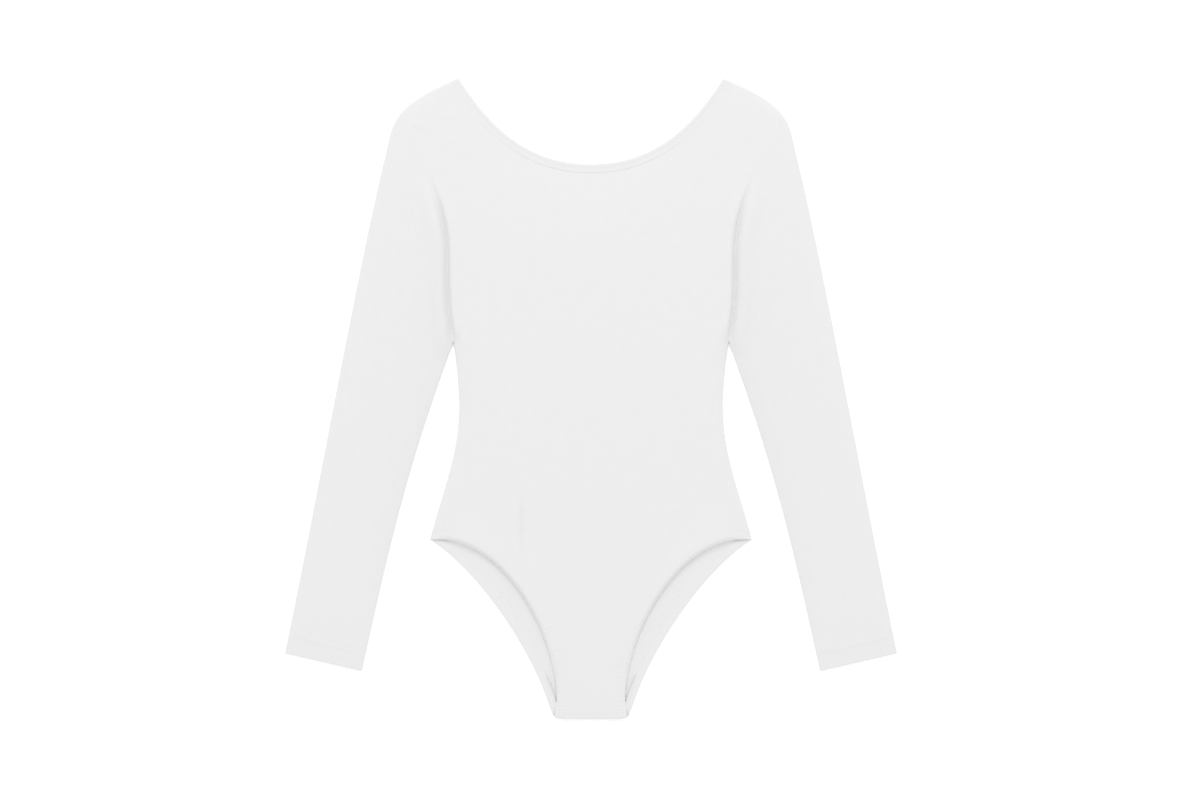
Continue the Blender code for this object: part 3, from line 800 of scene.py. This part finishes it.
class LEOTARD_OT_panels(bpy.types.Operator):
    """Make the front and the back panel, one lying on the other"""

    bl_idname = "leotard.panels"
    bl_label = "Front and back"

    def execute(self, context):
        sizes, colours = context.scene.leotard_sizes, context.scene.leotard_colours
        cloth = cloth_of(BODY_JERSEY, colours, sizes)
        layers = (("back", CROTCH_BACK, back_height), ("front", CROTCH_FRONT, front_height))
        for layer, crotch, height in layers:
            outline = panel_outline(layer, crotch)
            spots, faces = filled(outline)
            points = np.column_stack([spots, height(spots, sizes)])
            pattern = [[spots[corner] for corner in face] for face in faces]
            name, node = f"{layer}_jersey", f"{layer}_panel"
            panel = cloth_piece(name, node, points, faces, pattern, sizes.jersey, cloth, "body_jersey")
        return {"FINISHED"}


def sleeve_rings(side, sizes):
    """Rings of points round a flattened sleeve from the armhole to the cuff, and their pattern places."""
    outer_length, inner_length = along(OUTER.line)[-1], along(INNER.line)[-1]
    straight = outer_length - 2 * HEM_WIDTH
    first = np.array(SLEEVE_FIRST_RINGS)
    steps = round((straight - first[-1]) / SLEEVE_RING_STEP)
    down = np.concatenate([first[:-1], np.linspace(first[-1], straight, steps)])
    shares = 1 - down / straight
    hem = np.array(HEM_RINGS + CUFF_RINGS)
    from_cuff = np.concatenate([2 * HEM_WIDTH + straight * shares, hem])
    from_cuff_inner = np.concatenate([2 * HEM_WIDTH + (inner_length - 2 * HEM_WIDTH) * shares, hem])
    shares = np.concatenate([shares, np.zeros(len(hem))])
    outer = at(OUTER.line, outer_length - from_cuff)
    inner = at(INNER.line, inner_length - from_cuff_inner)
    arm_run = along(ARM.line) / along(ARM.line)[-1]
    armhole = inset(ARM.line, TUCK)
    turn = np.linspace(0, np.pi, SLEEVE_TURN_COLUMNS + 1)[1:-1]
    even = np.linspace(0, 1, SLEEVE_TOP_COLUMNS + 1)
    crowded = (1 - np.cos(np.linspace(0, np.pi, SLEEVE_TOP_COLUMNS + 1))) / 2
    across = SLEEVE_CROWDING * crowded + (1 - SLEEVE_CROWDING) * even
    under = np.linspace(0, 1, SLEEVE_UNDER_COLUMNS + 1)
    flats, heights, cuffs = [], [], []
    for start, end, share, cuff in zip(inner, outer, shares, from_cuff):
        if share == 1.0:
            start, end = armhole[0], armhole[-1]
        width = np.linalg.norm(end - start)
        radius = sleeve_roll(cuff) / 2
        edge_place = radius / width
        upper = edge_place + across * (1 - 2 * edge_place)
        lower = edge_place + under[::-1] * (1 - 2 * edge_place)
        inner_turn = edge_place * (1 - np.sin(turn))
        places = np.concatenate([upper, 1 - inner_turn, lower, inner_turn])
        bowed = read_off(armhole, arm_run, places)
        bow = bowed - armhole[0] - (armhole[-1] - armhole[0]) * places[:, None]
        flats.append(start + (end - start) * places[:, None] + bow * share)
        fall = radius * (1 + np.cos(turn))
        heights.append(np.concatenate([np.full(len(upper), np.nan), fall, np.zeros(len(lower)), fall[::-1]]))
        cuffs.append(np.full(len(places), cuff))
    flats, heights, cuffs = np.stack(flats), np.stack(heights), np.stack(cuffs)
    upper = np.isnan(heights)
    heights[upper] = sleeve_height(flats[upper], cuffs[upper], side, sizes)
    rim = CUFF_TURN * (1 - turned(cuffs / TURN_REACH))
    heights = np.where(upper, heights - rim, heights)
    tucked = TUCK_DEPTH * (TUCK_LEAST + (1 - TUCK_LEAST) * groove_depth(flats[0]))
    heights[0] += np.where(upper[0], -tucked, TUCK_DEPTH / 2)
    closed = np.concatenate([flats, flats[:, :1]], axis=1)
    girth = np.cumsum(np.linalg.norm(np.diff(closed, axis=1), axis=2), axis=1)
    girth = np.concatenate([np.zeros((len(girth), 1)), girth], axis=1)
    lengthwise = np.concatenate([cuffs, cuffs[:, :1]], axis=1)
    points = np.concatenate([flats * [side, 1.0], heights[..., None]], axis=-1)
    return points, np.stack([girth, lengthwise], axis=-1), cuffs


class LEOTARD_OT_sleeves(bpy.types.Operator):
    """Make the two sleeves as flattened tubes with turned cuffs"""

    bl_idname = "leotard.sleeves"
    bl_label = "Sleeves"

    def execute(self, context):
        sizes, colours = context.scene.leotard_sizes, context.scene.leotard_colours
        cloth = cloth_of(SLEEVE_JERSEY, colours, sizes)
        thread = cloth_of(THREAD, colours, sizes)
        for name, side in (("left", 1.0), ("right", -1.0)):
            rings, pattern, cuffs = sleeve_rings(side, sizes)
            rows, columns = rings.shape[:2]
            faces, corners = grid_faces(rows, columns, 0, 1)
            spots = pattern.reshape(-1, 2)
            pattern_corners = [[spots[corner] for corner in face] for face in corners]
            doubled = ease((HEM_WIDTH - cuffs.reshape(-1)) / ALLOWANCE_STEP)
            made_of = (sizes.jersey, cloth, "sleeve_jersey", doubled)
            node = f"sleeve_{name}"
            points = rings.reshape(-1, 3)
            sleeve = cloth_piece(f"{node}_jersey", node, points, faces, pattern_corners, *made_of)
            for count, place in enumerate(CUFF_STITCHES_AT):
                ring = int(np.abs(cuffs[:, 0] - place).argmin())
                line = np.concatenate([rings[ring], rings[ring, :1]])[: SLEEVE_TOP_COLUMNS + 1]
                outward = np.tile([0.0, 0.0, 1.0], (len(line), 1))
                row = thread_row(f"cuff_{name}_thread_{count + 1}", line, outward, sizes, thread)
            widest = 2 * OUTER.gap(ARM.line[:1])[0]
        return {"FINISHED"}


def band_rows(edge_lines, seam_lines, places, top_of, ways, half):
    """A band's rows once round: its free edge, its seam edge and its outward way, at mid-thickness."""
    arcs = []
    for line, seam_line, place in zip(edge_lines, seam_lines, places):
        arcs.append((at(line, place), at(seam_line, place, line)))
    (upper_free, upper_seam), (lower_free, lower_seam) = arcs
    top = top_of(upper_free) - half
    free = [np.column_stack([upper_free, top])]
    seam = [np.column_stack([upper_seam, top])]
    out = [np.tile([0.0, 0.0, 1.0], (len(top), 1))]
    lower = [np.column_stack([line, np.full(len(line), half)])[::-1] for line in (lower_free, lower_seam)]
    angles = np.linspace(0, np.pi, BAND_TURN_ROWS + 1)[1:-1]
    turns = []
    for way, ends, order in zip(ways, ((-1, 0), (0, -1)), (angles, angles[::-1])):
        radius = (top[ends[0]] - half) / 2
        middle = (top[ends[0]] + half) / 2
        step = np.minimum(1 - np.cos(order), 1.0)[:, None]
        rows = []
        for one, other in ((free[0], lower[0]), (seam[0], lower[1])):
            flat = one[ends[0], :2] + (other[ends[1], :2] - one[ends[0], :2]) * step
            flat = flat + np.array(way) * (radius * np.sin(order))[:, None]
            rows.append(np.column_stack([flat, middle + radius * np.cos(order)]))
        facing = np.column_stack([np.sin(order)[:, None] * np.array(way), np.cos(order)])
        turns.append((*rows, facing))
    (last_free, last_seam, last_out), (first_free, first_seam, first_out) = turns
    down = np.tile([0.0, 0.0, -1.0], (len(lower[0]), 1))
    free = np.concatenate([free[0], last_free, lower[0], first_free])
    seam = np.concatenate([seam[0], last_seam, lower[1], first_seam])
    return free, seam, np.concatenate([out[0], last_out, down, first_out])


def band_shape(rows, half, turn_in, ripple, roll, stands_off):
    """Points of a folded band: each row runs over its outer face, round the free edge and back inside."""
    free, seam, out = rows
    across = np.array(BAND_COLUMNS)
    from_free = across * BAND_WIDTH
    dimple = STITCH_DIMPLE * np.exp(-(((from_free - BAND_STITCH_AT) / STITCH_DIMPLE_REACH) ** 2))
    seam_turn = turn_in / half * (1 - turned((BAND_WIDTH - from_free) / TURN_REACH))
    edge = turned(from_free / TURN_REACH)
    outside = (edge * (1 - dimple - seam_turn))[::-1] * np.ones((len(free), 1))
    by_seam = ease(1 - (BAND_WIDTH - from_free) / INSIDE_SEAM_REACH)
    thinner = INSIDE_SEAM_SHARE * by_seam * (1 - stands_off)[:, None]
    raised = STAND_OFF / half * ease((from_free - STAND_OFF_AT) / STAND_OFF_REACH) * stands_off[:, None]
    inside = -edge * (1 - thinner + raised)
    columns = np.concatenate([across[::-1], across[1:]])
    heights = half * np.concatenate([outside, inside[:, 1:]], axis=1)
    heights[:, : len(across)] += ripple[:, None] * ease(from_free / PUCKER_INTO_BAND)[::-1]
    heights -= roll[:, None] * np.clip(1 - columns * BAND_WIDTH / LEG_ROLL_REACH, 0.0, 1.0) ** 2
    spread = (seam - free)[:, None, :] * columns[:, None]
    return free[:, None, :] + spread + out[:, None, :] * heights[..., None]


def add_band(name, node, rows, half, turn_in, context, ripple, roll, stands_off):
    """A folded band with its row of thread, from its rows once round."""
    sizes, colours = context.scene.leotard_sizes, context.scene.leotard_colours
    free, seam, out = rows
    points = band_shape(rows, half, turn_in, ripple, roll, stands_off)
    count, columns = points.shape[:2]
    faces, corners = grid_faces(count, columns, 1, 0)
    middle = (free + seam) / 2
    round_it = along(middle)
    round_it = np.append(round_it, round_it[-1] + np.linalg.norm(middle[-1] - middle[0]))
    width = np.linspace(0.0, 2 * BAND_WIDTH, columns)
    spots = np.stack(np.meshgrid(round_it, width, indexing="ij"), axis=-1).reshape(-1, 2)
    pattern = [[spots[corner] for corner in face] for face in corners]
    made_of = (sizes.band_jersey, cloth_of(BAND_JERSEY, colours, sizes), "band_jersey")
    band = cloth_piece(name, node, points.reshape(-1, 3), faces, pattern, *made_of)
    stitch_column = int(np.abs(np.array(BAND_COLUMNS) - BAND_STITCH_AT / BAND_WIDTH).argmin())
    line = points[:, len(BAND_COLUMNS) - 1 - stitch_column]
    line = line + np.outer(THREAD_SINK * (out[:, 2] < 0), [0.0, 0.0, 1.0])
    closed = np.concatenate([line, line[:1]])
    outward = np.concatenate([out, out[:1]])
    thread = thread_row(f"{name}_thread", closed, outward, sizes, cloth_of(THREAD, colours, sizes))
    return band


class LEOTARD_OT_neck_band(bpy.types.Operator):
    """Make the folded band round the neckline, with its row of thread"""

    bl_idname = "leotard.neck_band"
    bl_label = "Neck band"

    def execute(self, context):
        half = context.scene.leotard_sizes.band / MM / 2
        edge_lines, seam_lines, places = [], [], []
        for seam in NECKS.values():
            moved = inset(seam.line, -NECK_BAND_WIDTH, None, -SHOULDER_WAY)
            edge_lines.append(np.concatenate([mirrored(seam.line[:0:-1]), seam.line]))
            seam_lines.append(np.concatenate([mirrored(moved[:0:-1]), moved]))
            turn = BAND_TURN_TOP / 2
            places.append(evenly(edge_lines[-1], EDGE_STEP, turn, turn))
        tip_way = np.array([-SHOULDER_WAY[1], SHOULDER_WAY[0]])
        ways = (tip_way, mirrored(tip_way))
        rows = band_rows(edge_lines, seam_lines, places, lambda points: neck_top(points[:, 1]), ways, half)
        level = np.zeros(len(rows[0]))
        add_band("neck_band_jersey", "neck_band", rows, half, NECK_TURN, context, level, level, level)
        return {"FINISHED"}


class LEOTARD_OT_leg_bands(bpy.types.Operator):
    """Make the elastic bands round the leg openings, with their rows of thread"""

    bl_idname = "leotard.leg_bands"
    bl_label = "Leg bands"

    def execute(self, context):
        sizes = context.scene.leotard_sizes
        half = sizes.band / MM / 2
        turn = BAND_TURN_TOP / 2
        edge_lines = [seam.line for seam in LEGS.values()]
        seam_lines = [inset(line, BAND_WIDTH, CROTCH_WAY, SIDE_WAY) for line in edge_lines]
        places = [evenly(line, LEG_BAND_STEP, turn, turn) for line in edge_lines]
        ways = (np.array([SIDE_WAY[1], -SIDE_WAY[0]]), np.array([0.0, -1.0]))
        free, seam, out = band_rows(
            edge_lines, seam_lines, places, lambda points: leg_top(LEGS["front"].near(points)[1]), ways, half
        )
        turned_rows = np.zeros(BAND_TURN_ROWS - 1)
        run = np.concatenate([places[0], turned_rows, places[1][::-1], turned_rows])
        ripple = pucker(run, sizes.pucker_height / MM) * np.maximum(out[:, 2], 0.0)
        from_ends = np.minimum(run, along(LEGS["front"].line)[-1] - run)
        rolled = ease((from_ends - LEG_ROLL_START) / (LEG_ROLL_FULL - LEG_ROLL_START)) * (out[:, 2] > 0.5)
        roll = (free[:, 2] - LEG_EDGE_AT) * rolled
        from_middle = np.abs(run - (STAND_OFF_START + STAND_OFF_END) / 2)
        by_crotch = ease(2 - 2 * from_middle / (STAND_OFF_END - STAND_OFF_START))
        stands_off = by_crotch * (out[:, 2] < -0.5)
        for name, side in (("left", 1.0), ("right", -1.0)):
            flip = np.array([side, 1.0, 1.0])
            rows = (free * flip, seam * flip, out * flip)
            node = f"leg_band_{name}"
            add_band(f"{node}_jersey", node, rows, half, LEG_TURN, context, ripple, roll, stands_off)
        return {"FINISHED"}


# The studio, in metres: the camera's height and aim give the photograph's frame of 1200 by 800.
CAMERA_AIM = (0.0093, -0.0015)
CAMERA_HEIGHT = 3.4375
CAMERA_LENS = 100.0
TABLE_SIZE = 12.0
TABLE_DROP = 0.0001
SOFTBOX_AT = (0.0, 3.2, 2.75)
SOFTBOX_SIZE = 1.2
SOFTBOX_WATTS = 33.0
SKY_STRENGTH = 0.985


class LEOTARD_OT_stage(bpy.types.Operator):
    """Lay the light table, hang a softbox beyond the neck and set the camera straight above"""

    bl_idname = "leotard.stage"
    bl_label = "Studio"

    def execute(self, context):
        scene = context.scene
        bpy.ops.object.select_all(action="DESELECT")
        bpy.ops.mesh.primitive_plane_add(size=TABLE_SIZE, location=(0.0, 0.0, -TABLE_DROP))
        table = context.active_object
        table.name = "light_table"
        table.data.materials.append(light_table(TABLE, scene.leotard_colours.table))
        bpy.ops.object.light_add(type="AREA", location=SOFTBOX_AT)
        softbox = context.active_object
        softbox.name = "softbox"
        softbox.data.shape = "SQUARE"
        softbox.data.size = SOFTBOX_SIZE
        softbox.data.energy = SOFTBOX_WATTS
        softbox.rotation_euler = (-Vector(SOFTBOX_AT)).to_track_quat("-Z", "Y").to_euler()
        world = bpy.data.worlds.new("White tent")
        world.use_nodes = True
        sky = world.node_tree.nodes["Background"]
        sky.inputs["Color"].default_value = (1.0, 1.0, 1.0, 1.0)
        sky.inputs["Strength"].default_value = SKY_STRENGTH
        scene.world = world
        scene.view_settings.view_transform = "Standard"
        bpy.ops.object.camera_add(location=(*CAMERA_AIM, CAMERA_HEIGHT), rotation=(0.0, 0.0, 0.0))
        scene.camera = context.active_object
        scene.camera.data.lens = CAMERA_LENS
        return {"FINISHED"}


STEPS = (LEOTARD_OT_panels, LEOTARD_OT_sleeves, LEOTARD_OT_neck_band, LEOTARD_OT_leg_bands, LEOTARD_OT_stage)


class LEOTARD_PT_sidebar(bpy.types.Panel):
    """The leotard's pieces and sizes"""

    bl_label = "Ballet leotard"
    bl_idname = "LEOTARD_PT_sidebar"
    bl_space_type = "VIEW_3D"
    bl_region_type = "UI"
    bl_category = "Leotard"

    def draw(self, context):
        for group in (context.scene.leotard_sizes, context.scene.leotard_colours):
            for key in group.__annotations__:
                self.layout.prop(group, key)
        for step in STEPS:
            self.layout.operator(step.bl_idname)


CLASSES = (LeotardSizes, LeotardColours, *STEPS, LEOTARD_PT_sidebar)


def register():
    for one in CLASSES:
        bpy.utils.register_class(one)
    bpy.types.Scene.leotard_sizes = PointerProperty(type=LeotardSizes)
    bpy.types.Scene.leotard_colours = PointerProperty(type=LeotardColours)


def unregister():
    del bpy.types.Scene.leotard_colours
    del bpy.types.Scene.leotard_sizes
    for one in reversed(CLASSES):
        bpy.utils.unregister_class(one)


def main():
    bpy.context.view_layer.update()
    register()
    bpy.ops.object.select_all(action="DESELECT")
    bpy.ops.leotard.panels()
    bpy.ops.leotard.sleeves()
    bpy.ops.leotard.neck_band()
    bpy.ops.leotard.leg_bands()
    bpy.ops.leotard.stage()


if __name__ == "__main__":
    main()
